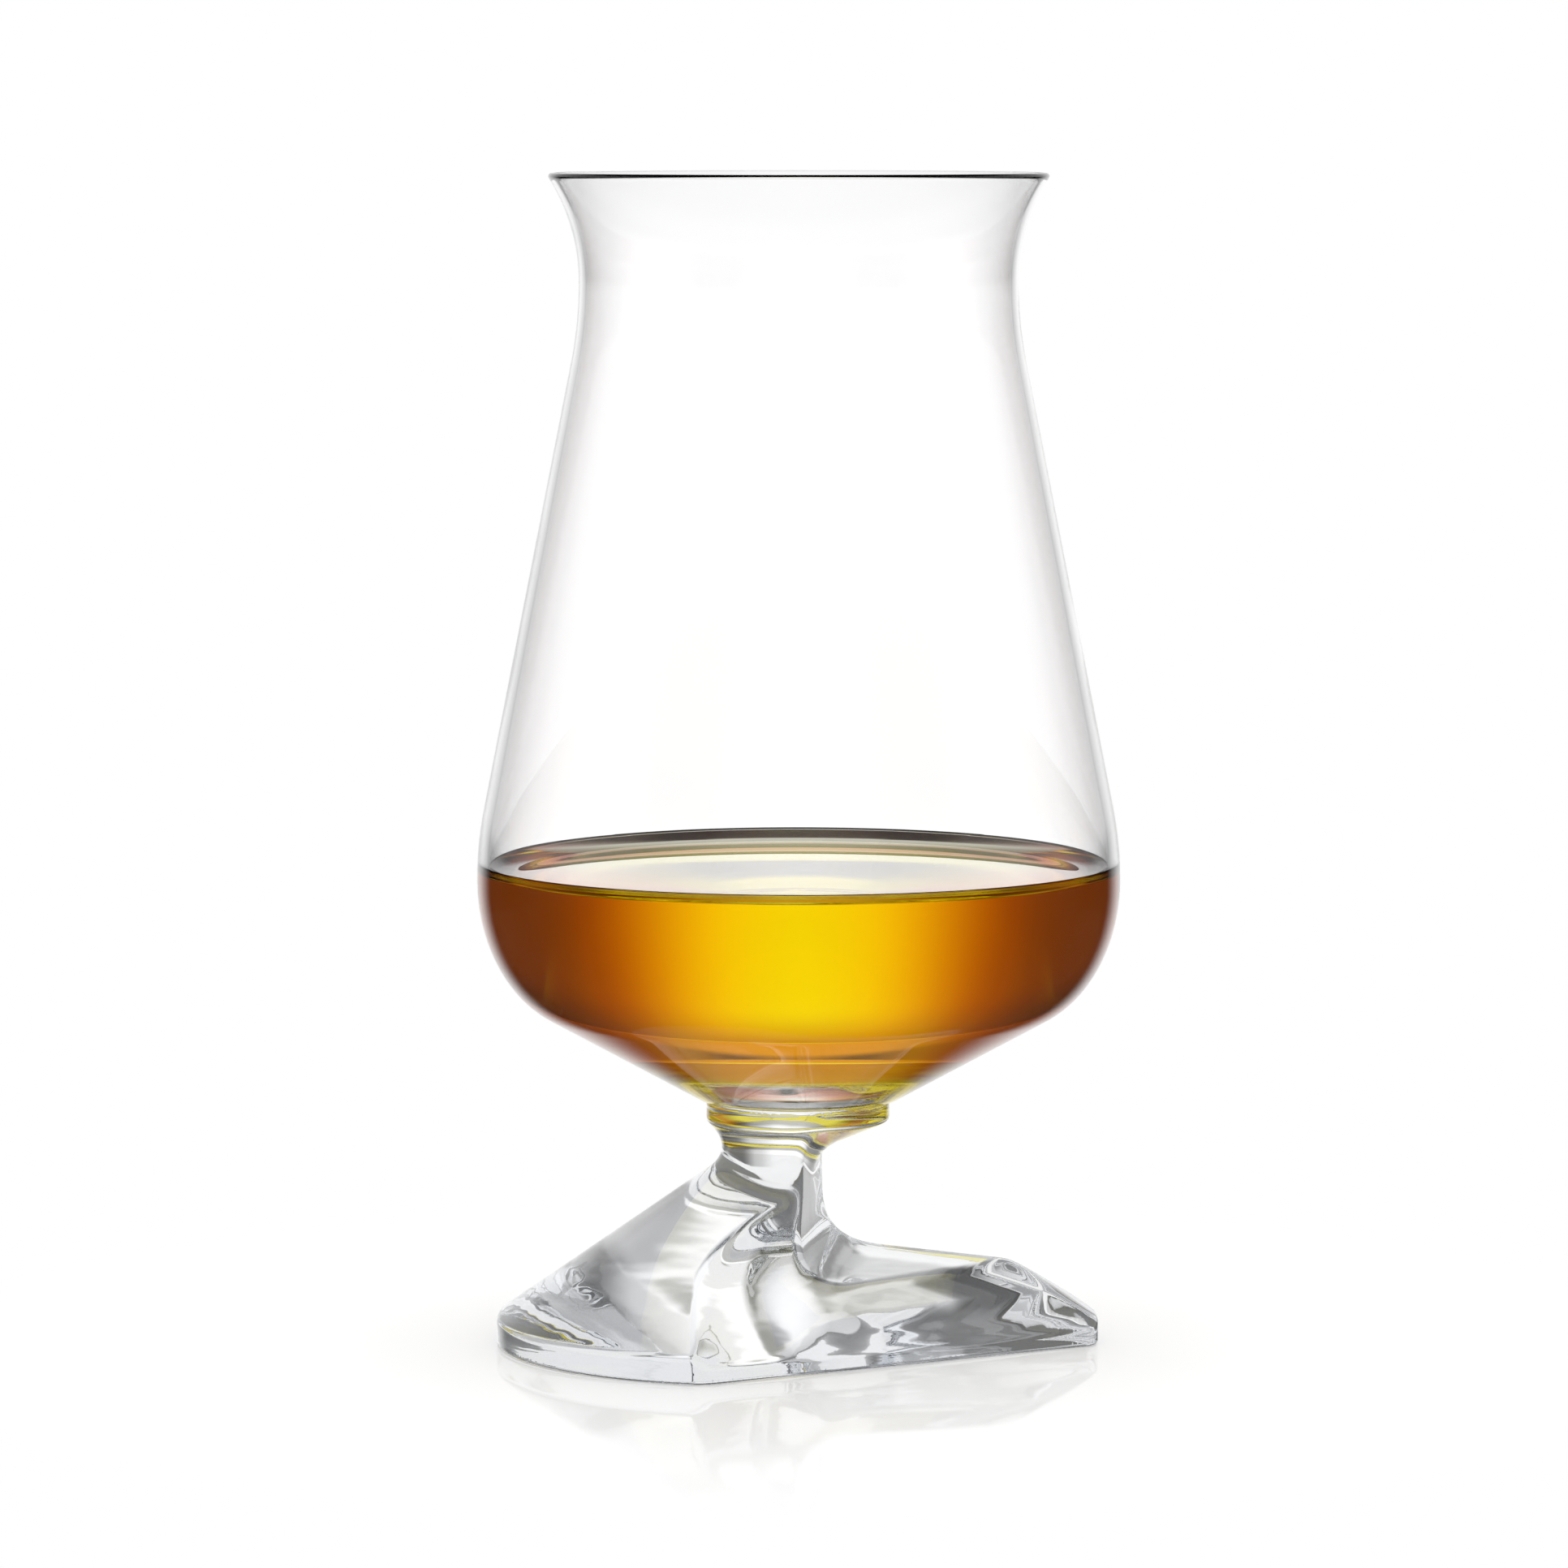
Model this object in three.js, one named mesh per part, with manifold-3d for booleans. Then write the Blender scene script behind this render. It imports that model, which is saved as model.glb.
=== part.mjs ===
// A whisky nosing glass: a thin blown bowl, fused to a pressed crystal foot, with a pour of whisky.
// Millimetres, +Z up. The origin is on the axis of the bowl, at the surface the glass stands on.
// +X points along the long toe of the foot and -Y is the side the glass is looked at from.
import * as THREE from "three";
import { mergeVertices } from "three/addons/utils/BufferGeometryUtils.js";
import Module from "manifold-3d";

const wasm = await Module();
wasm.setup();

const DEGREE = Math.PI / 180;

// Heights that the pieces share
const JOIN_HEIGHT = 26.8; // the fused seam between the collar and the bowl
const FLOOR_THICKNESS = 5; // solid glass under the whisky
const FILL_HEIGHT = 51.5; // the level of the whisky
const LIP_HEIGHT = 127.2; // where the outside of the bowl runs into the rounded rim

// Bowl
const WALL = 1.25;
const LIP_WALL = 0.75; // the wall thins to this from the belly up
const PAD_RADIUS = 10.6; // the flat underside that sits on the collar
const CONE_ANGLE = 28.8 * DEGREE; // rise of the underside towards the shoulder
const SHOULDER_RADIUS = 27.7; // where the underside starts to curve up
const SHOULDER_PULL = 0.6; // how far the shoulder reaches into its corner
const BELLY_RADIUS = 35.05;
const BELLY_HEIGHT = 51;
const BELLY_CURVE = 40; // radius of the turn from the belly into the tapering wall
const THROAT_RADIUS = 23.8;
const THROAT_CURVE = 44; // radius of the turn from the tapering wall into the throat
const LIP_CURVE = 21; // radius of the flare above the throat
const LIP_FLARE = 32.2 * DEGREE; // how far the wall turns outward from the throat to the lip

// Whisky
const WHISKY_CLEARANCE = 0.3; // between the pour and the side wall

// Foot, in plan: a round heel and two straight edges that draw in to a blunt toe
const HEEL_X = -4.6;
const HEEL_RADIUS = 28.5;
const EDGE_AZIMUTH = 60 * DEGREE; // the way a straight edge faces, from +X
const EDGE_DISTANCE = 19.1; // of a straight edge from the axis
const TOE_X = 32.8;
const TOE_CORNER = 1.5; // length of the small facet beside the blunt toe

// Foot, in height
const RIM_HEIGHT = 1.9; // the upright edge of the base
const SLOPE = 0.7; // rise over run of the mound's sides
const HEEL_HEIGHT = 3; // where the mound meets the edge of the heel
const FLANK_HEIGHT = 4.3; // where a straight side would meet its edge without the bevel
const BEVEL_RUN = 1.4; // the steep bevel along the straight edges
const FLANK_WALL = 7.3; // distance from the axis of the stem's two slanting sides
const FLANK_FILLET = 5;
const SCOOP_RADIUS = 20; // the shallow hollow in each flank, below the stem
const SCOOP_X = -2; // where the hollow runs out over a straight edge
const SCOOP_AZIMUTH = 75 * DEGREE; // the way it runs, from +X
const SCOOP_FALL = 41 * DEGREE;
const SHELF_HEIGHT = 9; // the thumb shelf on the toe, beside the stem
const SHELF_ROLL = 4 * DEGREE; // tilt of the shelf towards the front
const SHELF_WALL = 1.6; // distance from the axis of the stem's flat side above the shelf
const SHELF_FILLET = 5;
const SHELF_TURN = -9 * DEGREE; // the way the flat side faces, from +X
const TOE_CREST_X = 23.8; // where the shelf breaks off into the end slope
const TOE_HEIGHT = 3; // where the end slope meets the edge of the toe

// Stem and collar
const NECK_RADIUS = 8.3;
const COLLAR_RADIUS = 9.93;
const COLLAR_HEIGHT = 2.2;
const COLLAR_COVE = 1.6; // the hollow under the collar, on the round side of the stem
const COLLAR_CHAMFER = 0.3;
const FLARE_SLOPE = 0.42; // rise over run of the collar's underside above the shelf

// Fineness
const ROUND_STEPS = 48;
const CURVE_STEPS = 6;
const REACH = 80; // longer than any cut has to be

// Turns a closed geometry into a solid that can be joined and cut.
function solid(geometry) {
  const bare = geometry.clone();
  bare.deleteAttribute("normal");
  bare.deleteAttribute("uv");
  const merged = mergeVertices(bare, 1e-4);
  return new wasm.Manifold(
    new wasm.Mesh({
      numProp: 3,
      vertProperties: new Float32Array(merged.attributes.position.array),
      triVerts: new Uint32Array(merged.index.array),
    }),
  );
}

// Turns a solid back into a geometry.
function geometryOf(shape) {
  const mesh = shape.getMesh();
  const geometry = new THREE.BufferGeometry();
  geometry.setAttribute("position", new THREE.BufferAttribute(mesh.vertProperties, 3));
  geometry.setIndex(new THREE.BufferAttribute(mesh.triVerts, 1));
  geometry.computeVertexNormals();
  return geometry;
}

// Revolves a profile of (radius, height) points about the Z axis.
function revolve(profile) {
  return new THREE.LatheGeometry(profile, ROUND_STEPS).rotateX(Math.PI / 2);
}

// Sweeps an upright profile of (distance, height) sideways, to face the given azimuth.
// A roll tips the sweep down towards the front.
function sweep(profile, azimuth, roll = 0) {
  const settings = { depth: 2 * REACH, bevelEnabled: false, curveSegments: CURVE_STEPS };
  const geometry = new THREE.ExtrudeGeometry(profile, settings);
  return geometry.translate(0, 0, -REACH).rotateX(Math.PI / 2 + roll).rotateZ(azimuth);
}

// The points of a path, with a fixed number of steps on each of its curves.
function pointsOf(path) {
  const points = path.curves.flatMap((curve) =>
    curve.getPoints(curve.isLineCurve ? 1 : CURVE_STEPS).slice(1),
  );
  return [path.getPoint(0), ...points];
}

// The outside of the bowl from the edge of its pad to the lip, as points of (radius, height).
function bowlOutside() {
  const throatHeight = LIP_HEIGHT - LIP_CURVE * Math.sin(LIP_FLARE);
  const bellyCentre = new THREE.Vector2(BELLY_RADIUS - BELLY_CURVE, BELLY_HEIGHT);
  const throatCentre = new THREE.Vector2(THROAT_RADIUS + THROAT_CURVE, throatHeight);
  const span = throatCentre.clone().sub(bellyCentre);
  const lean = span.angle() - Math.acos((BELLY_CURVE + THROAT_CURVE) / span.length());

  const rise = Math.tan(CONE_ANGLE);
  const shoulder = new THREE.Vector2(
    SHOULDER_RADIUS,
    JOIN_HEIGHT + (SHOULDER_RADIUS - PAD_RADIUS) * rise,
  );
  const corner = new THREE.Vector2(BELLY_RADIUS, JOIN_HEIGHT + (BELLY_RADIUS - PAD_RADIUS) * rise);
  const belly = new THREE.Vector2(BELLY_RADIUS, BELLY_HEIGHT);
  const leaving = shoulder.clone().lerp(corner, SHOULDER_PULL);
  const arriving = belly.clone().lerp(corner, SHOULDER_PULL);

  const path = new THREE.Path();
  path.moveTo(PAD_RADIUS, JOIN_HEIGHT);
  path.lineTo(shoulder.x, shoulder.y);
  path.bezierCurveTo(leaving.x, leaving.y, arriving.x, arriving.y, belly.x, belly.y);
  path.absarc(bellyCentre.x, bellyCentre.y, BELLY_CURVE, 0, lean, false);
  path.absarc(throatCentre.x, throatCentre.y, THROAT_CURVE, Math.PI + lean, Math.PI, true);
  path.absarc(THROAT_RADIUS + LIP_CURVE, throatHeight, LIP_CURVE, Math.PI, Math.PI - LIP_FLARE, true);
  return pointsOf(path);
}

// Moves the points of the bowl's outside towards its inside, by the wall and a clearance.
function moveInward(points, clearance = 0) {
  return points.map((point, i) => {
    const before = points[Math.max(i - 1, 0)];
    const after = points[Math.min(i + 1, points.length - 1)];
    const along = after.clone().sub(before).normalize();
    const toLip = Math.max((point.y - BELLY_HEIGHT) / (LIP_HEIGHT - BELLY_HEIGHT), 0);
    const distance = THREE.MathUtils.lerp(WALL, LIP_WALL, toLip) + clearance;
    return new THREE.Vector2(point.x - along.y * distance, point.y + along.x * distance);
  });
}

// The point of a line from a to b at the given height.
function pointAtHeight(a, b, height) {
  return a.clone().lerp(b, (height - a.y) / (b.y - a.y));
}

// Keeps the stretch of a rising line of points between two heights.
function between(points, low, high) {
  const first = points.findIndex((point) => point.y > low);
  const last = points.findIndex((point) => point.y >= high);
  const end = last < 0 ? points.length : last;
  const kept = points.slice(first, end);
  kept.unshift(pointAtHeight(points[first - 1], points[first], low));
  if (last >= 0) kept.push(pointAtHeight(points[last - 1], points[last], high));
  return kept;
}

const outside = bowlOutside();
const floorHeight = JOIN_HEIGHT + FLOOR_THICKNESS;

function bowlGeometry() {
  const lip = outside.at(-1);
  const inside = between(moveInward(outside), floorHeight, Infinity);
  const middle = lip.clone().lerp(inside.at(-1), 0.5);
  const start = lip.clone().sub(middle).angle();
  const rim = new THREE.Path();
  rim.absarc(middle.x, middle.y, LIP_WALL / 2, start, start + Math.PI, false);
  const profile = [
    new THREE.Vector2(0, JOIN_HEIGHT),
    ...outside,
    ...pointsOf(rim).slice(1, -1),
    ...inside.reverse(),
    new THREE.Vector2(0, floorHeight),
  ];
  return revolve(profile);
}

function whiskyGeometry() {
  const side = between(moveInward(outside, WHISKY_CLEARANCE), floorHeight, FILL_HEIGHT);
  const profile = [
    new THREE.Vector2(0, floorHeight),
    ...side,
    new THREE.Vector2(0, FILL_HEIGHT),
  ];
  return revolve(profile);
}

// The plan of the base, seen from above.
function footPlan() {
  const heelToEdge = EDGE_DISTANCE - HEEL_X * Math.cos(EDGE_AZIMUTH);
  const corner = EDGE_AZIMUTH + Math.acos(heelToEdge / HEEL_RADIUS);
  const toeCornerX = TOE_X - TOE_CORNER;
  const toeCornerY = (EDGE_DISTANCE - toeCornerX * Math.cos(EDGE_AZIMUTH)) / Math.sin(EDGE_AZIMUTH);
  const toeY = toeCornerY - TOE_CORNER;
  const plan = new THREE.Shape();
  plan.absarc(HEEL_X, 0, HEEL_RADIUS, corner, 2 * Math.PI - corner, false);
  plan.lineTo(toeCornerX, -toeCornerY);
  plan.lineTo(TOE_X, -toeY);
  plan.lineTo(TOE_X, toeY);
  plan.lineTo(toeCornerX, toeCornerY);
  plan.closePath();
  return plan;
}

// The mound: a cone over the heel, drawn out into a ridge towards the toe.
function mound() {
  const baseRadius = HEEL_RADIUS + HEEL_HEIGHT / SLOPE;
  const peak = baseRadius * SLOPE;
  const cone = revolve([
    new THREE.Vector2(0, 0),
    new THREE.Vector2(baseRadius, 0),
    new THREE.Vector2(0, peak),
  ]);
  const section = new THREE.Shape();
  section.moveTo(-baseRadius, 0);
  section.lineTo(baseRadius, 0);
  section.lineTo(0, peak);
  section.closePath();
  const settings = { depth: REACH, bevelEnabled: false };
  const ridge = new THREE.ExtrudeGeometry(section, settings).rotateX(Math.PI / 2).rotateZ(Math.PI / 2);
  return solid(cone.translate(HEEL_X, 0, 0)).add(solid(ridge.translate(HEEL_X, 0, 0)));
}

// The space beside the stem, above a sloping face and outside an upright wall, with a rounded foot.
function cove({ wall, fillet, slope, edge, edgeHeight }) {
  const tilt = Math.atan(slope);
  const faceAt = (distance) => edgeHeight + slope * (edge - distance);
  const centre = faceAt(wall + fillet) + fillet / Math.cos(tilt);
  const profile = new THREE.Shape();
  profile.moveTo(edge + REACH, REACH);
  profile.lineTo(edge + REACH, faceAt(edge + REACH));
  profile.absarc(wall + fillet, centre, fillet, -Math.PI / 2 - tilt, -Math.PI, true);
  profile.lineTo(wall, REACH);
  profile.closePath();
  return profile;
}

// The space above a straight slope that runs through two points of (distance, height).
function bevel(inner, outer) {
  const top = pointAtHeight(outer, inner, REACH);
  const profile = new THREE.Shape();
  profile.moveTo(top.x, top.y);
  profile.lineTo(outer.x, outer.y);
  profile.lineTo(outer.x + REACH, outer.y);
  profile.lineTo(outer.x + REACH, REACH);
  profile.closePath();
  return profile;
}

// The space outside an upright wall at a distance from the axis.
function outsideWall(distance) {
  const profile = new THREE.Shape();
  profile.moveTo(distance, 0);
  profile.lineTo(distance + REACH, 0);
  profile.lineTo(distance + REACH, REACH);
  profile.lineTo(distance, REACH);
  profile.closePath();
  return profile;
}

// The round hollow that runs from the stem down a flank and out over its straight edge.
// The side is -1 at the front and 1 at the back.
function scoop(side) {
  const run = new THREE.Vector3(Math.cos(SCOOP_AZIMUTH), side * Math.sin(SCOOP_AZIMUTH), 0);
  const along = run.clone().multiplyScalar(Math.cos(SCOOP_FALL));
  along.z = -Math.sin(SCOOP_FALL);
  const above = run.clone().multiplyScalar(Math.sin(SCOOP_FALL));
  above.z = Math.cos(SCOOP_FALL);
  const edgeY = (EDGE_DISTANCE - SCOOP_X * Math.cos(EDGE_AZIMUTH)) / Math.sin(EDGE_AZIMUTH);
  const centre = new THREE.Vector3(SCOOP_X, side * edgeY, RIM_HEIGHT);
  centre.addScaledVector(above, SCOOP_RADIUS);
  const geometry = new THREE.CylinderGeometry(SCOOP_RADIUS, SCOOP_RADIUS, REACH, 2 * ROUND_STEPS);
  const turn = new THREE.Quaternion().setFromUnitVectors(new THREE.Vector3(0, 1, 0), along);
  const hollow = solid(geometry.applyQuaternion(turn).translate(centre.x, centre.y, centre.z));
  return hollow.intersect(solid(sweep(outsideWall(FLANK_WALL), side * EDGE_AZIMUTH)));
}

const collarBottom = JOIN_HEIGHT - COLLAR_HEIGHT;

// The round neck, up to the underside of the collar.
function neck() {
  const coveCentre = new THREE.Vector2(NECK_RADIUS + COLLAR_COVE, collarBottom - COLLAR_COVE);
  const profile = new THREE.Path();
  profile.moveTo(0, RIM_HEIGHT);
  profile.lineTo(NECK_RADIUS, RIM_HEIGHT);
  profile.absarc(coveCentre.x, coveCentre.y, COLLAR_COVE, Math.PI, Math.PI / 2, true);
  profile.lineTo(0, collarBottom);
  return solid(revolve(pointsOf(profile)));
}

// The collar that carries the bowl, with the cone that flares out under it.
function collar() {
  const tip = collarBottom - COLLAR_RADIUS * FLARE_SLOPE;
  return solid(
    revolve([
      new THREE.Vector2(0, tip),
      new THREE.Vector2(COLLAR_RADIUS, collarBottom),
      new THREE.Vector2(COLLAR_RADIUS, JOIN_HEIGHT - COLLAR_CHAMFER),
      new THREE.Vector2(COLLAR_RADIUS - COLLAR_CHAMFER, JOIN_HEIGHT),
      new THREE.Vector2(0, JOIN_HEIGHT),
    ]),
  );
}

// A solid with the plan of the base, up to the given height.
function planBlock(height) {
  const settings = { depth: height, bevelEnabled: false, curveSegments: ROUND_STEPS / 2 };
  return solid(new THREE.ExtrudeGeometry(footPlan(), settings));
}

function footGeometry() {
  let body = planBlock(JOIN_HEIGHT).intersect(mound()).add(neck());

  const flank = cove({
    wall: FLANK_WALL,
    fillet: FLANK_FILLET,
    slope: SLOPE,
    edge: EDGE_DISTANCE,
    edgeHeight: FLANK_HEIGHT,
  });
  const flankBevel = bevel(
    new THREE.Vector2(EDGE_DISTANCE - BEVEL_RUN, FLANK_HEIGHT + SLOPE * BEVEL_RUN),
    new THREE.Vector2(EDGE_DISTANCE, RIM_HEIGHT),
  );
  for (const side of [-1, 1]) {
    body = body.subtract(solid(sweep(flank, side * EDGE_AZIMUTH)));
    body = body.subtract(solid(sweep(flankBevel, side * EDGE_AZIMUTH)));
    body = body.subtract(scoop(side));
  }

  const shelf = cove({
    wall: SHELF_WALL,
    fillet: SHELF_FILLET,
    slope: 0,
    edge: TOE_CREST_X,
    edgeHeight: SHELF_HEIGHT,
  });
  const toeSlope = bevel(
    new THREE.Vector2(TOE_CREST_X, SHELF_HEIGHT),
    new THREE.Vector2(TOE_X, TOE_HEIGHT),
  );
  body = body.subtract(solid(sweep(shelf, SHELF_TURN, SHELF_ROLL)));
  body = body.subtract(solid(sweep(toeSlope, 0)));
  return geometryOf(body.add(planBlock(RIM_HEIGHT)).add(collar()));
}

function glassMaterial() {
  return new THREE.MeshStandardMaterial({
    color: 0xeef2f4,
    roughness: 0.02,
    metalness: 0,
    transparent: true,
    opacity: 0.35,
  });
}

function whiskyMaterial() {
  return new THREE.MeshStandardMaterial({
    color: 0xd9920f,
    roughness: 0.03,
    metalness: 0,
    transparent: true,
    opacity: 0.8,
  });
}

function piece(name, geometry, material) {
  const mesh = new THREE.Mesh(geometry, material);
  mesh.name = name;
  return mesh;
}

const glass = new THREE.Group();
glass.add(piece("foot", footGeometry(), glassMaterial()));
glass.add(piece("bowl", bowlGeometry(), glassMaterial()));
glass.add(piece("whisky", whiskyGeometry(), whiskyMaterial()));

export default glass;
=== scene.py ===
"""A whisky glass of clear crystal with a pour of whisky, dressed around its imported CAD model."""
import math
from collections import namedtuple

import bpy
import numpy as np
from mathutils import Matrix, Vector


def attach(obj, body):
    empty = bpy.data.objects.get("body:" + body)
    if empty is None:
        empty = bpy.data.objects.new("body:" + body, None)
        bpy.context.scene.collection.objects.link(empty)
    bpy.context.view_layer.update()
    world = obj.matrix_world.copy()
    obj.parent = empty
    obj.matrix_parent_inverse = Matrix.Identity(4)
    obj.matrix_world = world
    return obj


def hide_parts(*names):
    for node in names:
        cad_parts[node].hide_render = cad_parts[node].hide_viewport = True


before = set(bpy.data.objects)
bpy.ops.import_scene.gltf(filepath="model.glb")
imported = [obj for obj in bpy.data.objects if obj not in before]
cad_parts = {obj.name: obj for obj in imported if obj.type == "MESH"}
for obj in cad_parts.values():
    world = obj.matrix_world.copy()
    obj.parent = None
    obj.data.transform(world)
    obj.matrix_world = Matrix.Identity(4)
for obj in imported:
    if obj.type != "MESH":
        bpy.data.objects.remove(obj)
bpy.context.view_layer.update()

# Sizes are in millimetres in this script, in the frame of the CAD model, and in metres in Blender.
MM = 0.001
DEGREE = math.pi / 180

# Heights that the pieces share
JOIN_HEIGHT = 26.8
FLOOR_THICKNESS = 5
FILL_HEIGHT = 51.5
LIP_HEIGHT = 127.2
SEAM_OVERLAP = 0.05  # pieces that touch are let into each other, so that light passes as through one
LIQUID_OVERLAP = 0.1

# Bowl
WALL = 1.25
LIP_WALL = 0.75
PAD_RADIUS = 10.6
PAD_ROUNDING = 0.6
FLOOR_ROUNDING = 4
CONE_ANGLE = 28.8 * DEGREE
SHOULDER_RADIUS = 27.7
SHOULDER_PULL = 0.6
BELLY_RADIUS = 35.05
BELLY_HEIGHT = 51
BELLY_CURVE = 40
THROAT_RADIUS = 23.8
THROAT_CURVE = 44
LIP_CURVE = 21
LIP_FLARE = 32.2 * DEGREE

# Whisky
MENISCUS_RISE = 1.5  # how far the whisky climbs the wall
MENISCUS_WIDTH = 1.1  # how fast the climb dies away from the wall
MENISCUS_REACH = 6  # where the fine rings of its surface end, from the wall
SURFACE_START = 8  # where the coarse rings begin

# Foot, in plan
HEEL_X = -4.6
HEEL_RADIUS = 28.5
EDGE_AZIMUTH = 60 * DEGREE
EDGE_DISTANCE = 19.1
TOE_X = 32.8
TOE_CORNER = 1.5
PLAN_ROUNDING = 1.0

# Foot, in height
RIM_HEIGHT = 1.9
RIM_ROUNDING = 0.5
SLOPE = 0.7
HEEL_HEIGHT = 3
FLANK_HEIGHT = 4.3
BEVEL_RUN = 1.4
FLANK_WALL = 7.3
FLANK_FILLET = 6
SCOOP_RADIUS = 20
SCOOP_X = -2
SCOOP_AZIMUTH = 75 * DEGREE
SCOOP_FALL = 41 * DEGREE
SCOOP_FILLET = 4
SHELF_HEIGHT = 9
SHELF_ROLL = 4 * DEGREE
SHELF_WALL = 1.6
SHELF_FILLET = 6
SHELF_TURN = -9 * DEGREE
TOE_CREST_X = 23.8
TOE_HEIGHT = 3
ARRIS_ROUNDING = 0.8  # the soft edges between the faces of the foot
NECK_RADIUS = 8.3
NECK_FILLET = 1.5
COLLAR_RADIUS = 9.93
COLLAR_HEIGHT = 2.2
COLLAR_ROUNDING = 0.4
FLARE_SLOPE = 0.42
FLARE_FILLET = 3

# Fineness
ROUND_STEPS = 256
CURVE_STEPS = 24
CORNER_STEPS = 8
POINT_GAP = 0.2  # least height between the end of a corner and the outline's next point
STRAIGHT_STEPS = 8  # this many steps up from its start, the bowl's outline is still straight
MENISCUS_STEPS = 40
SURFACE_STEPS = 12
FOOT_STEP = 0.3
SETTLE_ROUNDS = 6  # how often a point of the foot is moved closer to the surface

# Clear bodies: how much they bend light, the colour they let through, and how fast they take up the rest
GLASS_IOR = 1.52
GLASS_COLOUR = (0.83, 0.845, 0.87)
BOWL_DENSITY = 30
FOOT_DENSITY = 20
WHISKY_IOR = 1.36
WHISKY_COLOUR = (0.983, 0.933, 0.125)
WHISKY_DENSITY = 110

# Waviness of the surfaces: how far apart the swells are, and how deep
BOWL_SWELL = (16, 0.02)
FOOT_SWELL = (5, 0.05)
WHISKY_SWELL = (20, 0.005)

# Floor
FLOOR_RADIUS = 130
FLOOR_DROP = 0.05  # below the foot
FLOOR_WHITE = 0.97
FLOOR_MIRROR = 0.3  # the share of its surface that mirrors
FLOOR_ROUGHNESS = 0.05
FLOOR_LIFT = 0.2  # light of its own, which keeps it white
FLOOR_FADE = (50, 100)  # it fades into the background over these distances from the middle

# Light that clear bodies show, where 1 is white: a panel, its sides, the gaps between panels,
# the share of that light that is left higher up, and its gain just above the horizon
Levels = namedtuple("Levels", "panel side gap share gain")
FOOT_LEVELS = Levels(panel=1, side=0.6, gap=0.16, share=0.5, gain=1.2)
BOWL_LEVELS = Levels(panel=1.15, side=0.75, gap=0.4, share=0.1, gain=1.3)
WHISKY_LEVELS = Levels(panel=1.13, side=0.26, gap=0.18, share=0.6, gain=1)
OVERHEAD_LEVEL = 1  # a soft light overhead, which the dry bowl doesn't show
BASE_LEVEL = 0.2  # the shade under the base, in light that is mirrored on its way
LOW_LEVEL = 0.9  # the light from just below the horizon, through the whisky
UNDER_LEVEL = 0.6  # and the light that comes up through it
DARK_LEVEL = 0.01
MIRROR_LEVEL = 0.6  # what surfaces reflect
WHISKY_GLOW = (1, 0.25, 0.1)  # painted warm light: a tint that only light through the whisky has, from beside the panels, which browns the whisky
WARM_SHARE = 0.6  # how much of that tint light from above or below has at the least
FOOT_DEPTH = 2.5  # light that passes more surfaces than this has been through the bowl
BOWL_DEPTH = 4.5  # and more than this, through the whisky

# Where one level gives way to the next, sideways: 0 is along X or Y, and 1 is half-way between them
PANEL_EDGE = (0.2, 0.85)
GAP_EDGE = (0.75, 0.98)
WARM_EDGE = (0, 0.75)
DARK_BAND_END = (0.1, 0.5)

# Where one level gives way to the next, in height: -1 is straight down, 0 the horizon and 1 straight up
GAIN_RISE = (0, 0.06)
HIGHER_RISE = (0.19, 0.32)
OVERHEAD_RISE = (0.6, 0.75)
LOW_RISE = (-0.19, -0.16)
DARK_BAND_TOP = (-0.385, -0.365)
DARK_BAND_BOTTOM = (-0.65, -0.6)
WARM_FADE = (0.45, 0.65)
MIRROR_RISE = (-0.05, 0)
MIRROR_FADE = (0.42, 0.64)
MIRROR_BACK = (0.8, 0.95)  # along +Y: behind the glass, surfaces reflect white

# Camera
CAMERA_X = -1.6
CAMERA_DISTANCE = 777
CAMERA_HEIGHT = 135
CAMERA_AIM_HEIGHT = 61.4
CAMERA_LENS = 164.5
CAMERA_SENSOR = 36
CAMERA_NEAR = 50

# Light paths: enough for light that is mirrored many times inside the foot
MOST_BOUNCES = 32
MOST_REFLECTIONS = 16


# Outlines of (radius, height) points

def arc(centre, radius, start, end, steps=CURVE_STEPS):
    angles = np.linspace(start, end, steps + 1)
    return np.column_stack((centre[0] + radius * np.cos(angles), centre[1] + radius * np.sin(angles)))


def bezier(a, b, c, d, steps=CURVE_STEPS):
    t = np.linspace(0, 1, steps + 1)[:, None]
    return (1 - t) ** 3 * a + 3 * (1 - t) ** 2 * t * b + 3 * (1 - t) * t**2 * c + t**3 * d


def rounded_corner(before, corner, after, radius):
    """A corner of an outline, replaced by a curve that leaves it the given distance away on each side."""
    to_before = (before - corner) / np.linalg.norm(before - corner)
    to_after = (after - corner) / np.linalg.norm(after - corner)
    start = corner + to_before * radius
    end = corner + to_after * radius
    return bezier(start, (start + 2 * corner) / 3, (end + 2 * corner) / 3, end, CORNER_STEPS)


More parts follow.
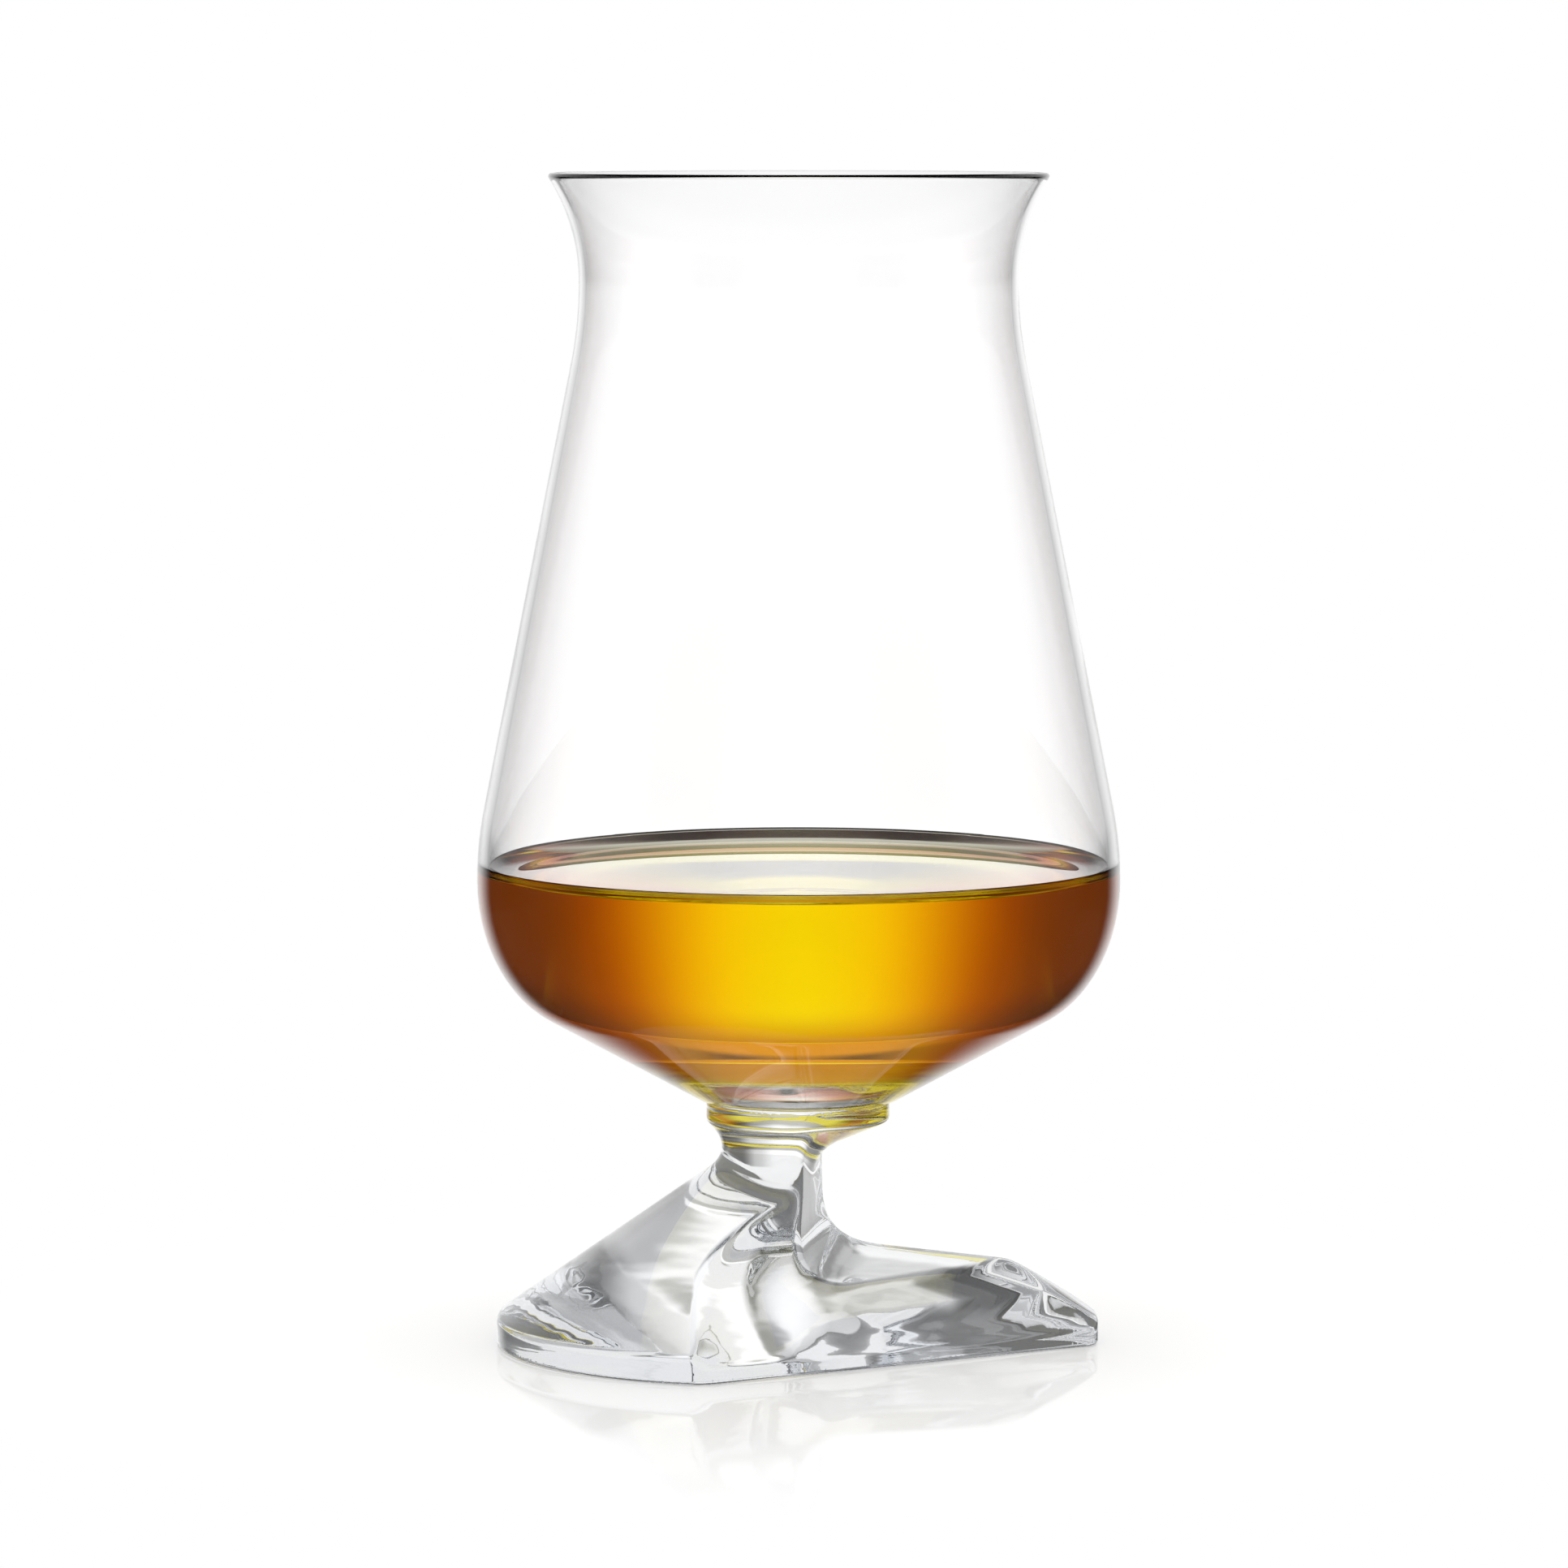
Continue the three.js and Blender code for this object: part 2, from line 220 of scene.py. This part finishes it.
def bowl_outside():
    """The outside of the bowl from the edge of its pad to the lip."""
    rise = math.tan(CONE_ANGLE)
    pad = np.array((PAD_RADIUS, JOIN_HEIGHT))
    shoulder = np.array((SHOULDER_RADIUS, JOIN_HEIGHT + (SHOULDER_RADIUS - PAD_RADIUS) * rise))
    corner = np.array((BELLY_RADIUS, JOIN_HEIGHT + (BELLY_RADIUS - PAD_RADIUS) * rise))
    belly = np.array((BELLY_RADIUS, BELLY_HEIGHT))
    leaving = shoulder + (corner - shoulder) * SHOULDER_PULL
    arriving = belly + (corner - belly) * SHOULDER_PULL

    throat_height = LIP_HEIGHT - LIP_CURVE * math.sin(LIP_FLARE)
    belly_centre = np.array((BELLY_RADIUS - BELLY_CURVE, BELLY_HEIGHT))
    throat_centre = np.array((THROAT_RADIUS + THROAT_CURVE, throat_height))
    lip_centre = np.array((THROAT_RADIUS + LIP_CURVE, throat_height))
    span = throat_centre - belly_centre
    between = math.acos((BELLY_CURVE + THROAT_CURVE) / math.hypot(*span))
    lean = math.atan2(span[1], span[0]) - between
    cone = pad + (shoulder - pad) * np.linspace(0, 1, CURVE_STEPS + 1)[:, None]
    belly_arc = arc(belly_centre, BELLY_CURVE, 0, lean)
    throat_arc = arc(throat_centre, THROAT_CURVE, math.pi + lean, math.pi)
    wall = belly_arc[-1] + (throat_arc[0] - belly_arc[-1]) * np.linspace(0, 1, CURVE_STEPS + 1)[:, None]
    return np.vstack((
        cone[:-1],
        bezier(shoulder, leaving, arriving, belly)[:-1],
        belly_arc[:-1],
        wall[:-1],
        throat_arc[:-1],
        arc(lip_centre, LIP_CURVE, math.pi, math.pi - LIP_FLARE),
    ))


def moved_inward(outline, distance):
    along = np.gradient(outline, axis=0)
    along /= np.linalg.norm(along, axis=1)[:, None]
    inward = np.column_stack((-along[:, 1], along[:, 0]))
    return outline + np.reshape(distance, (-1, 1)) * inward


def wall_thickness(height):
    """The wall, which thins from the belly to the lip."""
    return np.interp(height, (BELLY_HEIGHT, LIP_HEIGHT), (WALL, LIP_WALL))


def above(outline, height):
    """The stretch of a rising outline above a height, from its point at that height."""
    first = int(np.argmax(outline[:, 1] > height))
    before, after = outline[first - 1], outline[first]
    start = before + (after - before) * (height - before[1]) / (after[1] - before[1])
    return np.vstack((start, outline[first:]))


# Meshes

def new_piece(name, points, faces, normals=None):
    """A smooth mesh object from points in millimetres."""
    mesh = bpy.data.meshes.new(name)
    mesh.from_pydata((np.asarray(points) * MM).tolist(), [], faces)
    mesh.shade_smooth()
    if normals is not None:
        mesh.normals_split_custom_set_from_vertices(normals.tolist())
    mesh.validate()
    piece = bpy.data.objects.new(name, mesh)
    bpy.context.scene.collection.objects.link(piece)
    return piece


def mark_matt(piece, marks):
    """Gives each face the number of its sides that reflect nothing: 0, 1 for its outside, or 2."""
    attribute = piece.data.attributes.new("matt", "FLOAT", "FACE")
    attribute.data.foreach_set("value", marks)


def revolved(name, outline, matt):
    """A closed mesh from an outline that starts and ends on the axis, with a matt mark per stretch."""
    rings = len(outline) - 2
    angles = np.arange(ROUND_STEPS) * (2 * math.pi / ROUND_STEPS)
    radius = outline[1:-1, 0][:, None]
    height = np.repeat(outline[1:-1, 1], ROUND_STEPS)
    points = np.column_stack((
        (radius * np.cos(angles)).ravel(),
        (radius * np.sin(angles)).ravel(),
        height,
    ))
    ends = np.array(((0, 0, outline[0, 1]), (0, 0, outline[-1, 1])))
    bottom = rings * ROUND_STEPS
    top = bottom + 1
    last = (rings - 1) * ROUND_STEPS
    faces = []
    for j in range(ROUND_STEPS):
        k = (j + 1) % ROUND_STEPS
        faces.append((bottom, k, j))
        for low in range(0, last, ROUND_STEPS):
            high = low + ROUND_STEPS
            faces.append((low + j, low + k, high + k, high + j))
        faces.append((last + j, last + k, top))
    piece = new_piece(name, np.vstack((points, ends)), faces)
    mark_matt(piece, np.tile(matt, ROUND_STEPS))
    return piece


def field_gradient(field, points, reach=0.01):
    columns = []
    for axis in range(3):
        offset = np.zeros(3)
        offset[axis] = reach
        columns.append((field(*(points + offset).T) - field(*(points - offset).T)) / (2 * reach))
    return np.column_stack(columns)


def field_mesh(name, field, low, high, step):
    """A closed mesh of the surface where a field of (x, y, z) is zero; the field is negative inside.

    Each cell of a grid that the surface crosses holds one point, settled onto the surface, and each
    grid edge that crosses the surface joins the points of the four cells around it."""
    axes = [np.arange(a, b + step, step) for a, b in zip(low, high)]
    inside = field(*np.meshgrid(*axes, indexing="ij")) < 0
    cells = tuple(n - 1 for n in inside.shape)
    corners = np.zeros(cells, np.int8)
    for dx, dy, dz in np.ndindex(2, 2, 2):
        corners += inside[dx:dx + cells[0], dy:dy + cells[1], dz:dz + cells[2]]
    crossed = (corners > 0) & (corners < 8)
    number = np.full(cells, -1)
    number[crossed] = np.arange(crossed.sum())

    start = np.array(low) + (np.argwhere(crossed) + 0.5) * step
    points = start.copy()
    for _ in range(SETTLE_ROUNDS):
        slope = field_gradient(field, points)
        points -= slope * (field(*points.T) / (slope**2).sum(1))[:, None]
        points = np.clip(points, start - step, start + step)

    faces = []
    for axis in range(3):
        side, other = [(1, 2), (2, 0), (0, 1)][axis]
        lower = np.delete(inside, -1, axis)
        upper = np.delete(inside, 0, axis)
        edges = np.argwhere(lower != upper)
        ring = []
        for back in ((1, 1), (0, 1), (0, 0), (1, 0)):
            cell = edges.copy()
            cell[:, side] -= back[0]
            cell[:, other] -= back[1]
            ring.append(number[tuple(cell.T)])
        quads = np.column_stack(ring)
        leaving = lower[tuple(edges.T)]
        faces.extend(quads[leaving].tolist())
        faces.extend(quads[~leaving][:, ::-1].tolist())
    normals = field_gradient(field, points)
    normals /= np.linalg.norm(normals, axis=1)[:, None]
    return new_piece(name, points, faces, normals)


# Bowl and whisky

def bowl_inside(overlap=0):
    """The inside of the bowl, from the axis at its floor to the lip, let into the glass by an overlap."""
    outside = bowl_outside()
    floor_height = JOIN_HEIGHT + FLOOR_THICKNESS - overlap
    side = above(moved_inward(outside, wall_thickness(outside[:, 1]) - overlap), floor_height)
    axis = np.array((0, floor_height))
    corner = rounded_corner(axis, side[0], side[STRAIGHT_STEPS], FLOOR_ROUNDING)
    return np.vstack((axis, corner, side[side[:, 1] > corner[-1, 1] + POINT_GAP]))


def bowl_matt(outline, inside):
    """Matt marks of the bowl: both sides of its pad and of its wet wall, and the outside of its underside,
    where the mark fades out up the shoulder."""
    matt = np.zeros(len(outline) - 1)
    matt[0] = 2
    underside = CORNER_STEPS + CURVE_STEPS
    matt[1:underside] = 1
    matt[underside:underside + CURVE_STEPS] = np.linspace(1, 0, CURVE_STEPS)
    wet = int((inside[:, 1] < FILL_HEIGHT + MENISCUS_RISE).sum())
    matt[-wet - 1:-CORNER_STEPS - 1] = 2
    return matt


def make_bowl():
    outside = bowl_outside()
    inside = bowl_inside()
    axis = np.array((0, JOIN_HEIGHT))
    pad_edge = rounded_corner(axis, outside[0], outside[STRAIGHT_STEPS], PAD_ROUNDING)
    outside = outside[outside[:, 1] > pad_edge[-1, 1] + POINT_GAP]
    middle = (outside[-1] + inside[-1]) / 2
    across = outside[-1] - middle
    start = math.atan2(across[1], across[0])
    rim = arc(middle, np.linalg.norm(across), start, start + math.pi)
    outline = np.vstack((axis, pad_edge, outside, rim[1:-1], inside[::-1]))
    return revolved("bowl_crystal", outline, bowl_matt(outline, inside))


def make_whisky():
    side = bowl_inside(LIQUID_OVERLAP)
    contact = FILL_HEIGHT + MENISCUS_RISE
    edge = above(side[1:], contact)[0]
    side = side[side[:, 1] < contact - POINT_GAP / 2]
    from_wall = np.concatenate((
        np.linspace(0, MENISCUS_REACH, MENISCUS_STEPS),
        np.linspace(SURFACE_START, edge[0], SURFACE_STEPS),
    ))
    surface = FILL_HEIGHT + MENISCUS_RISE * np.exp(-from_wall / MENISCUS_WIDTH)
    top = np.column_stack((edge[0] - from_wall, surface))
    matt = np.concatenate((np.full(len(side), 2), np.zeros(len(top) - 1)))
    return revolved("whisky_pour", np.vstack((side, top)), matt)


# Foot

def smooth_min(a, b, width):
    """The lower of two fields, with the crease between them rounded over a width."""
    blend = np.maximum(width - np.abs(a - b), 0) / width
    return np.minimum(a, b) - blend**2 * width / 4


def smooth_max(a, b, width):
    return -smooth_min(-a, -b, width)


def slope_field(distance, height, at, at_height, fall):
    """Below a face that falls with the distance by the given slope, through a point."""
    return (height - at_height + fall * (distance - at)) / math.hypot(1, fall)


def plan_field(x, y):
    """Inside the plan of the foot: a round heel and two straight edges that draw in to a blunt toe."""
    heel = np.hypot(x - HEEL_X, y) - HEEL_RADIUS
    plan = np.minimum(heel, -x)
    for side in (-1, 1):
        edge = x * math.cos(EDGE_AZIMUTH) + side * y * math.sin(EDGE_AZIMUTH) - EDGE_DISTANCE
        plan = smooth_max(plan, edge, PLAN_ROUNDING)
    return smooth_max(plan, x - TOE_X, TOE_CORNER)


def scoop_field(x, y, z, side):
    """Outside the round hollow that runs from the stem down a flank and out over its edge."""
    run = np.array((math.cos(SCOOP_AZIMUTH), side * math.sin(SCOOP_AZIMUTH), 0))
    along = run * math.cos(SCOOP_FALL) - np.array((0, 0, math.sin(SCOOP_FALL)))
    up = run * math.sin(SCOOP_FALL) + np.array((0, 0, math.cos(SCOOP_FALL)))
    edge_y = (EDGE_DISTANCE - SCOOP_X * math.cos(EDGE_AZIMUTH)) / math.sin(EDGE_AZIMUTH)
    centre = np.array((SCOOP_X, side * edge_y, RIM_HEIGHT)) + up * SCOOP_RADIUS
    across = np.cross(along, up)
    dx, dy, dz = x - centre[0], y - centre[1], z - centre[2]
    height = dx * up[0] + dy * up[1] + dz * up[2]
    sideways = dx * across[0] + dy * across[1] + dz * across[2]
    return SCOOP_RADIUS - np.hypot(height, sideways)


def mound_field(x, y, z):
    """Inside the mound, which falls away from a ridge and round the heel, and the neck on it."""
    from_ridge = np.hypot(np.minimum(x - HEEL_X, 0), y)
    mound = slope_field(from_ridge, z, HEEL_RADIUS, HEEL_HEIGHT, SLOPE)
    return smooth_min(mound, np.hypot(x, y) - NECK_RADIUS, NECK_FILLET)


def flank_fields(x, y, z, side):
    """What the cuts on one flank leave: its cove, the bevel along its edge, and its scoop."""
    out = x * math.cos(EDGE_AZIMUTH) + side * y * math.sin(EDGE_AZIMUTH)
    flank = slope_field(out, z, EDGE_DISTANCE, FLANK_HEIGHT, SLOPE)
    cove = smooth_min(flank, out - FLANK_WALL, FLANK_FILLET)
    bevel_fall = (FLANK_HEIGHT + SLOPE * BEVEL_RUN - RIM_HEIGHT) / BEVEL_RUN
    bevel = slope_field(out, z, EDGE_DISTANCE, RIM_HEIGHT, bevel_fall)
    scoop = smooth_min(scoop_field(x, y, z, side), out - FLANK_WALL, SCOOP_FILLET)
    return cove, bevel, scoop


def shelf_field(x, y, z):
    """What the cut of the thumb shelf leaves; the shelf is turned and rolled a little."""
    out = x * math.cos(SHELF_TURN) + y * math.sin(SHELF_TURN)
    across = y * math.cos(SHELF_TURN) - x * math.sin(SHELF_TURN)
    rolled = z * math.cos(SHELF_ROLL) - across * math.sin(SHELF_ROLL)
    return smooth_min(rolled - SHELF_HEIGHT, out - SHELF_WALL, SHELF_FILLET)


def toe_field(x, z):
    """Below the end slope of the toe."""
    fall = (SHELF_HEIGHT - TOE_HEIGHT) / (TOE_X - TOE_CREST_X)
    return slope_field(x, z, TOE_X, TOE_HEIGHT, fall)


def collar_field(radius, z):
    """Inside the collar, which flares up from the neck to its round edge."""
    flare = slope_field(-radius, -z, -COLLAR_RADIUS, COLLAR_HEIGHT - JOIN_HEIGHT, -FLARE_SLOPE)
    return smooth_max(flare, radius - COLLAR_RADIUS, COLLAR_ROUNDING)


def foot_field(x, y, z):
    """Negative inside the pressed foot."""
    body = mound_field(x, y, z)
    for side in (-1, 1):
        for cut in flank_fields(x, y, z, side):
            body = smooth_max(body, cut, ARRIS_ROUNDING)
    body = smooth_max(body, shelf_field(x, y, z), ARRIS_ROUNDING)
    body = smooth_max(body, toe_field(x, z), ARRIS_ROUNDING)
    body = smooth_min(body, z - RIM_HEIGHT, RIM_ROUNDING)
    body = smooth_max(body, plan_field(x, y), RIM_ROUNDING)
    body = smooth_max(body, -z, RIM_ROUNDING)
    foot = smooth_min(body, collar_field(np.hypot(x, y), z), FLARE_FILLET)
    return smooth_max(foot, z - JOIN_HEIGHT - SEAM_OVERLAP, COLLAR_ROUNDING)


def make_foot():
    margin = 3 * FOOT_STEP
    low = (HEEL_X - HEEL_RADIUS - margin, -HEEL_RADIUS - margin, -margin)
    high = (TOE_X + margin, HEEL_RADIUS + margin, JOIN_HEIGHT + margin)
    foot = field_mesh("foot_crystal", foot_field, low, high, FOOT_STEP)
    mark_matt(foot, [2 * float(face.center.z > JOIN_HEIGHT * MM) for face in foot.data.polygons])
    return foot


# Materials

def math_node(tree, operation, first, second=None):
    node = tree.nodes.new("ShaderNodeMath")
    node.operation = operation
    for socket, value in zip(node.inputs, (first, second)):
        if isinstance(value, bpy.types.NodeSocket):
            tree.links.new(value, socket)
        elif value is not None:
            socket.default_value = value
    return node.outputs["Value"]


def ramp(tree, value, span):
    """A smooth rise from 0 to 1 as the value goes through a span."""
    node = tree.nodes.new("ShaderNodeMapRange")
    node.interpolation_type = "SMOOTHSTEP"
    node.inputs["From Min"].default_value = span[0]
    node.inputs["From Max"].default_value = span[1]
    tree.links.new(value, node.inputs["Value"])
    return node.outputs["Result"]


def mixed(tree, factor, first, second):
    """A number that goes from the first to the second as the factor goes from 0 to 1."""
    node = tree.nodes.new("ShaderNodeMix")
    for socket, value in zip(node.inputs, (factor, None, first, second)):
        if isinstance(value, bpy.types.NodeSocket):
            tree.links.new(value, socket)
        elif value is not None:
            socket.default_value = value
    return node.outputs[0]


def new_material(name):
    material = bpy.data.materials.new(name)
    material.use_nodes = True
    return material, material.node_tree


def waviness(tree, size, depth):
    """The slight swell of a surface that was moulded, blown or poured; its normal."""
    place = tree.nodes.new("ShaderNodeTexCoord").outputs["Object"]
    swell = tree.nodes.new("ShaderNodeTexNoise")
    swell.inputs["Scale"].default_value = 1 / (size * MM)
    swell.inputs["Detail"].default_value = 1
    tree.links.new(place, swell.inputs["Vector"])
    bump = tree.nodes.new("ShaderNodeBump")
    bump.inputs["Strength"].default_value = 1
    bump.inputs["Distance"].default_value = depth * MM
    tree.links.new(swell.outputs["Fac"], bump.inputs["Height"])
    return bump.outputs["Normal"]


def clear_material(name, ior, absorption_colour, absorption_density, swell):
    """A clear body: a wavy surface that refracts and an inside that takes up some light."""
    material, tree = new_material(name)
    surface = tree.nodes["Principled BSDF"]
    surface.inputs["Base Color"].default_value = (1, 1, 1, 1)
    surface.inputs["Roughness"].default_value = 0
    surface.inputs["IOR"].default_value = ior
    surface.inputs["Transmission Weight"].default_value = 1
    matt = tree.nodes.new("ShaderNodeAttribute")
    matt.attribute_name = "matt"
    sides = math_node(tree, "ADD", tree.nodes.new("ShaderNodeNewGeometry").outputs["Backfacing"], 1)
    mirror = math_node(tree, "SUBTRACT", sides, matt.outputs["Fac"])
    mirror.node.use_clamp = True
    tree.links.new(mirror, surface.inputs["Specular Tint"])
    tree.links.new(waviness(tree, *swell), surface.inputs["Normal"])
    inside = tree.nodes.new("ShaderNodeVolumeAbsorption")
    inside.inputs["Color"].default_value = (*absorption_colour, 1)
    inside.inputs["Density"].default_value = absorption_density
    tree.links.new(inside.outputs["Volume"], tree.nodes["Material Output"].inputs["Volume"])
    return material


def crystal(name, density, swell):
    return clear_material(name, GLASS_IOR, GLASS_COLOUR, density, swell)


def whisky(name):
    return clear_material(name, WHISKY_IOR, WHISKY_COLOUR, WHISKY_DENSITY, WHISKY_SWELL)


def dress(piece, node, material):
    piece.data.materials.append(material)
    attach(piece, "root")
    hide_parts(node)


# Stage

def near_floor(tree):
    """The floor's look close to the glass: a white that mirrors a little."""
    matt = tree.nodes.new("ShaderNodeBsdfDiffuse")
    matt.inputs["Color"].default_value = (FLOOR_WHITE, FLOOR_WHITE, FLOOR_WHITE, 1)
    gloss = tree.nodes.new("ShaderNodeBsdfGlossy")
    gloss.inputs["Roughness"].default_value = FLOOR_ROUGHNESS
    near = tree.nodes.new("ShaderNodeMixShader")
    near.inputs["Fac"].default_value = FLOOR_MIRROR
    tree.links.new(matt.outputs["BSDF"], near.inputs[1])
    tree.links.new(gloss.outputs["BSDF"], near.inputs[2])
    lift = tree.nodes.new("ShaderNodeEmission")
    lift.inputs["Strength"].default_value = FLOOR_LIFT
    lifted = tree.nodes.new("ShaderNodeAddShader")
    tree.links.new(near.outputs["Shader"], lifted.inputs[0])
    tree.links.new(lift.outputs["Emission"], lifted.inputs[1])
    return lifted.outputs["Shader"]


def white_floor():
    """A white floor that fades into the background away from the glass."""
    material, tree = new_material("floor_white")
    tree.nodes.remove(tree.nodes["Principled BSDF"])
    place = tree.nodes.new("ShaderNodeNewGeometry")
    length = tree.nodes.new("ShaderNodeVectorMath")
    length.operation = "LENGTH"
    tree.links.new(place.outputs["Position"], length.inputs[0])
    far = tree.nodes.new("ShaderNodeEmission")
    mix = tree.nodes.new("ShaderNodeMixShader")
    fade = ramp(tree, length.outputs["Value"], [distance * MM for distance in FLOOR_FADE])
    tree.links.new(fade, mix.inputs["Fac"])
    tree.links.new(near_floor(tree), mix.inputs[1])
    tree.links.new(far.outputs["Emission"], mix.inputs[2])
    tree.links.new(mix.outputs["Shader"], tree.nodes["Material Output"].inputs["Surface"])
    return material


def make_floor():
    bpy.ops.mesh.primitive_circle_add(
        vertices=ROUND_STEPS // 2,
        radius=FLOOR_RADIUS * MM,
        fill_type="NGON",
        location=(0, 0, -FLOOR_DROP * MM),
    )
    floor = bpy.context.object
    floor.name = "floor"
    floor.visible_glossy = False
    floor.visible_transmission = False
    floor.data.materials.append(white_floor())


class Ray:
    """What the world knows of the light it gives: its direction, and what the light has been through."""

    def __init__(self, tree):
        split = tree.nodes.new("ShaderNodeSeparateXYZ")
        tree.links.new(tree.nodes.new("ShaderNodeTexCoord").outputs["Generated"], split.inputs[0])
        x, self.y, self.z = split.outputs
        x_squared = math_node(tree, "MULTIPLY", x, x)
        y_squared = math_node(tree, "MULTIPLY", self.y, self.y)
        product = math_node(tree, "ABSOLUTE", math_node(tree, "MULTIPLY", x, self.y))
        flat = math_node(tree, "ADD", x_squared, y_squared)
        self.diagonal = math_node(tree, "DIVIDE", math_node(tree, "MULTIPLY", product, 2), flat)

        path = tree.nodes.new("ShaderNodeLightPath")
        depth = path.outputs["Transmission Depth"]
        self.in_bowl = math_node(tree, "GREATER_THAN", depth, FOOT_DEPTH)
        self.in_whisky = math_node(tree, "GREATER_THAN", depth, BOWL_DEPTH)
        self.mirrored = math_node(tree, "PINGPONG", path.outputs["Glossy Depth"], 1)
        self.is_glossy = path.outputs["Is Glossy Ray"]
        self.is_transmission = path.outputs["Is Transmission Ray"]


def levels_of(tree, ray):
    """The levels of what the light came through: the foot, the dry bowl or the whisky."""
    return Levels(*(
        mixed(tree, ray.in_whisky, mixed(tree, ray.in_bowl, foot, bowl), whisky)
        for foot, bowl, whisky in zip(FOOT_LEVELS, BOWL_LEVELS, WHISKY_LEVELS)
    ))


def panel_light(tree, ray, levels):
    """A bright panel on each of four sides, with darker sides and gaps."""
    panel = mixed(tree, ramp(tree, ray.diagonal, PANEL_EDGE), levels.panel, levels.side)
    panel = mixed(tree, ramp(tree, ray.diagonal, GAP_EDGE), panel, levels.gap)
    gain = mixed(tree, ramp(tree, ray.z, GAIN_RISE), 1, levels.gain)
    return math_node(tree, "MULTIPLY", panel, gain)


def light_from_below(tree, ray, levels):
    """White, but with a shade that the foot mirrors, and for the whisky a dimmer light with a dark band."""
    fall = ramp(tree, ray.diagonal, PANEL_EDGE)
    under = mixed(tree, fall, UNDER_LEVEL, levels.side)
    dark = mixed(tree, ramp(tree, ray.diagonal, DARK_BAND_END), DARK_LEVEL, under)
    low = mixed(tree, fall, LOW_LEVEL, levels.side)
    table = mixed(tree, ramp(tree, ray.z, DARK_BAND_BOTTOM), under, dark)
    table = mixed(tree, ramp(tree, ray.z, DARK_BAND_TOP), table, low)
    base = mixed(tree, ray.in_bowl, mixed(tree, ray.mirrored, 1, BASE_LEVEL), 1)
    return mixed(tree, ray.in_whisky, base, table)


def shown_through(tree, ray):
    """What the clear bodies show: light from below, then the panels, dimmer higher up, and overhead."""
    levels = levels_of(tree, ray)
    panel = panel_light(tree, ray, levels)
    higher = math_node(tree, "MULTIPLY", panel, levels.share)
    dry_bowl = math_node(tree, "SUBTRACT", ray.in_bowl, ray.in_whisky)
    overhead = mixed(tree, dry_bowl, OVERHEAD_LEVEL, higher)
    through = mixed(tree, ramp(tree, ray.z, LOW_RISE), light_from_below(tree, ray, levels), panel)
    through = mixed(tree, ramp(tree, ray.z, HIGHER_RISE), through, higher)
    return mixed(tree, ramp(tree, ray.z, OVERHEAD_RISE), through, overhead)


def shown_in_mirror(tree, ray):
    """What surfaces reflect: dark from below and from high up, and white from behind the glass."""
    gloss = mixed(tree, ramp(tree, ray.z, MIRROR_RISE), DARK_LEVEL, MIRROR_LEVEL)
    gloss = mixed(tree, ramp(tree, ray.y, MIRROR_BACK), gloss, 1)
    return mixed(tree, ramp(tree, ray.z, MIRROR_FADE), gloss, DARK_LEVEL)


def warm_light_through_whisky(tree, ray):
    """White, but a painted warm tint for light that reaches the whisky from beside the panels: only light
    that has been through the whisky has it.
    """
    steep = math_node(tree, "ABSOLUTE", ray.z)
    warmth = ramp(tree, ray.diagonal, WARM_EDGE)
    at_least = math_node(tree, "MAXIMUM", warmth, WARM_SHARE)
    warmth = mixed(tree, ramp(tree, steep, HIGHER_RISE), warmth, at_least)
    warmth = mixed(tree, ramp(tree, steep, WARM_FADE), warmth, 0)
    tint = tree.nodes.new("ShaderNodeMix")
    tint.data_type = "RGBA"
    tint.inputs["A"].default_value = (1, 1, 1, 1)
    tint.inputs["B"].default_value = (*WHISKY_GLOW, 1)
    tree.links.new(math_node(tree, "MULTIPLY", ray.in_whisky, warmth), tint.inputs["Factor"])
    return tint.outputs["Result"]


def make_world():
    """White to the camera and on the floor, and a studio to the clear bodies."""
    world = bpy.data.worlds.new("studio")
    bpy.context.scene.world = world
    world.use_nodes = True
    tree = world.node_tree
    ray = Ray(tree)
    strength = mixed(tree, ray.is_glossy, 1, shown_in_mirror(tree, ray))
    strength = mixed(tree, ray.is_transmission, strength, shown_through(tree, ray))
    background = tree.nodes["Background"]
    # the colour is white, except a painted warm light that only light through the whisky has
    tree.links.new(warm_light_through_whisky(tree, ray), background.inputs["Color"])
    tree.links.new(strength, background.inputs["Strength"])


def make_camera():
    data = bpy.data.cameras.new("camera")
    data.lens = CAMERA_LENS
    data.sensor_width = CAMERA_SENSOR
    data.clip_start = CAMERA_NEAR * MM
    camera = bpy.data.objects.new("camera", data)
    bpy.context.scene.collection.objects.link(camera)
    camera.location = Vector((CAMERA_X, -CAMERA_DISTANCE, CAMERA_HEIGHT)) * MM
    aim = Vector((CAMERA_X, 0, CAMERA_AIM_HEIGHT)) * MM
    camera.rotation_euler = (aim - camera.location).to_track_quat("-Z", "Y").to_euler()
    bpy.context.scene.camera = camera


def set_light_paths():
    cycles = bpy.context.scene.cycles
    cycles.max_bounces = MOST_BOUNCES
    cycles.transmission_bounces = MOST_BOUNCES
    cycles.glossy_bounces = MOST_REFLECTIONS


dress(make_bowl(), "bowl", crystal("bowl_crystal", BOWL_DENSITY, BOWL_SWELL))
dress(make_foot(), "foot", crystal("foot_crystal", FOOT_DENSITY, FOOT_SWELL))
dress(make_whisky(), "whisky", whisky("whisky"))
make_floor()
make_world()
make_camera()
set_light_paths()
bpy.context.scene.view_settings.view_transform = "Standard"
